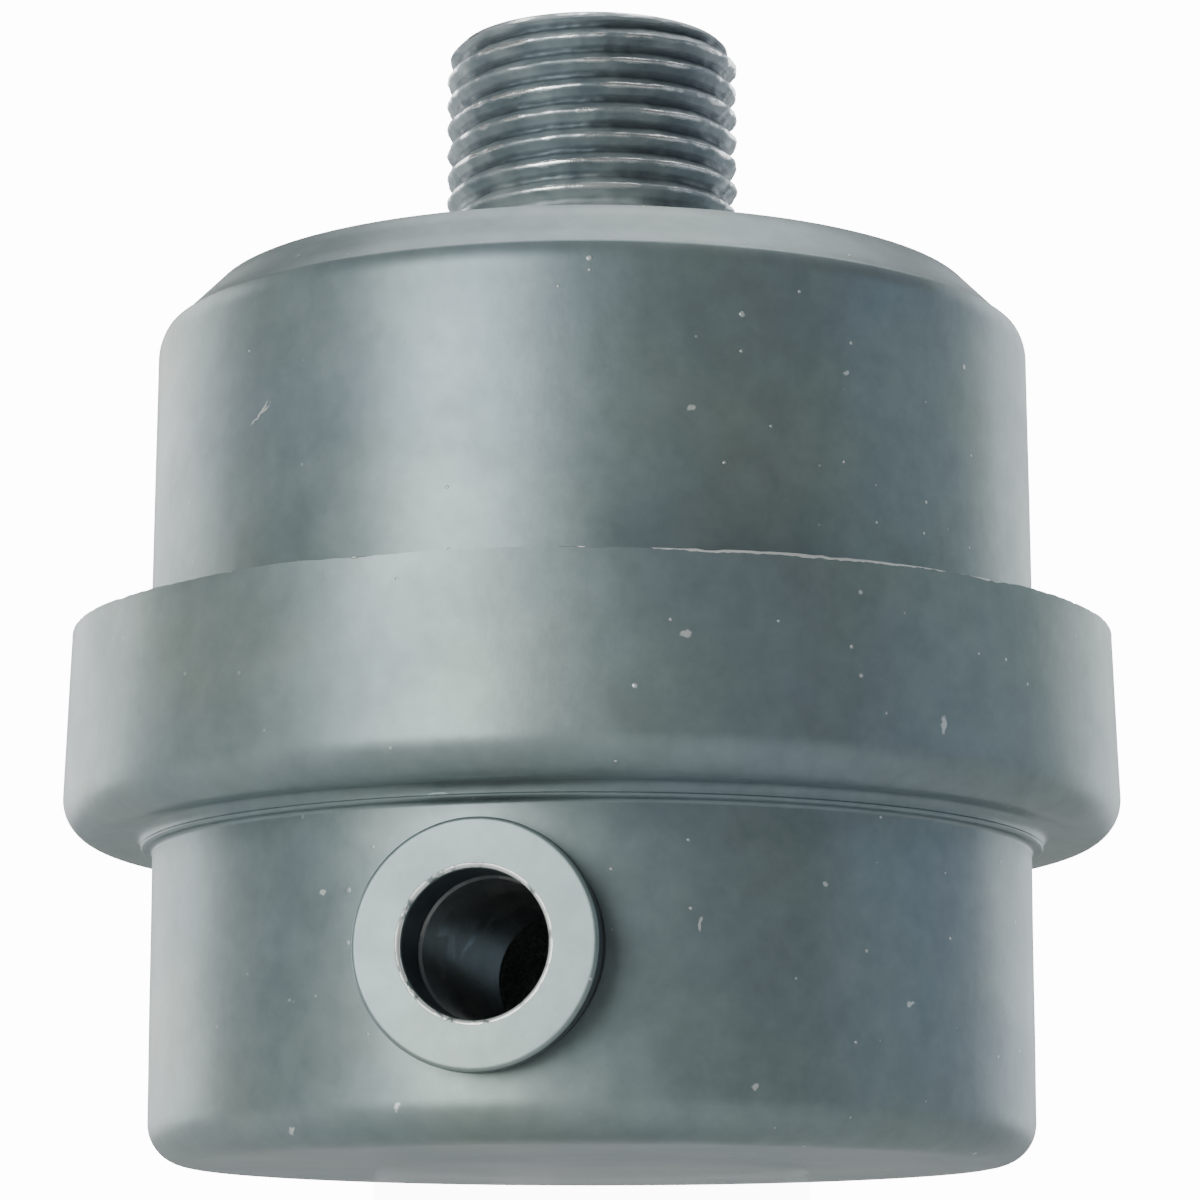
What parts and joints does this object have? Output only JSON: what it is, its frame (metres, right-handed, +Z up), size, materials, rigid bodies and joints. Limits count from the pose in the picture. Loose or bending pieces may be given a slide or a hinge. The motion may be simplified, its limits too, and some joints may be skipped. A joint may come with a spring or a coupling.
{
  "type": "pneumatic muffler",
  "caption": "Canister intake silencer: steel cup with flared collar, domed cover with hollow threaded nipple, flanged side inlet, felt-lined chambers and a pleated cartridge.",
  "frame": {"origin": "centre of the flat base, on the canister's axis", "axes": "+Z up along the canister's axis, through the threaded nipple; the inlet points towards -Y, turned 13 degrees towards -X"},
  "size_m": [0.0736, 0.0736, 0.08],
  "materials": {
    "painted_shell": "satin",
    "painted_bush": "satin",
    "nipple_steel": "satin",
    "zinc_plated": "satin",
    "black_rubber": "matte",
    "felt": "matte",
    "filter_paper": "matte",
    "seal_polyurethane": "matte",
    "potting": "matte"
  },
  "bodies": {
    "lower_case": {"lower_shell": "painted_shell", "inlet_bush": "painted_bush", "inlet_gasket": "black_rubber", "inlet_retaining_ring": "zinc_plated", "inlet_tube": "zinc_plated", "lower_felt_pad": "felt", "lower_felt_liner": "felt", "baffle_plate": "zinc_plated"},
    "cover": {"upper_shell": "painted_shell", "joint_seal_ring": "black_rubber", "threaded_nipple": "nipple_steel", "nipple_weld_ring": "painted_shell", "hold_down_spider": "zinc_plated", "upper_felt_liner": "felt"},
    "cartridge": {"element_seal_flange": "seal_polyurethane", "element_inner_core": "zinc_plated", "element_pleated_paper": "filter_paper", "element_potting_ring": "potting", "element_top_cap": "zinc_plated"}
  },
  "joints": [
    {"name": "cover_lift", "type": "slide", "parent": "lower_case", "child": "cover", "axis": [0, 0, 1], "range_m": [0, 0.08]},
    {"name": "cartridge_lift", "type": "slide", "parent": "lower_case", "child": "cartridge", "axis": [0, 0, 1], "range_m": [0, 0.04]}
  ],
  "couplings": [
    {"joint": "cartridge_lift", "follows": "cover_lift", "ratio": 0.5}
  ]
}
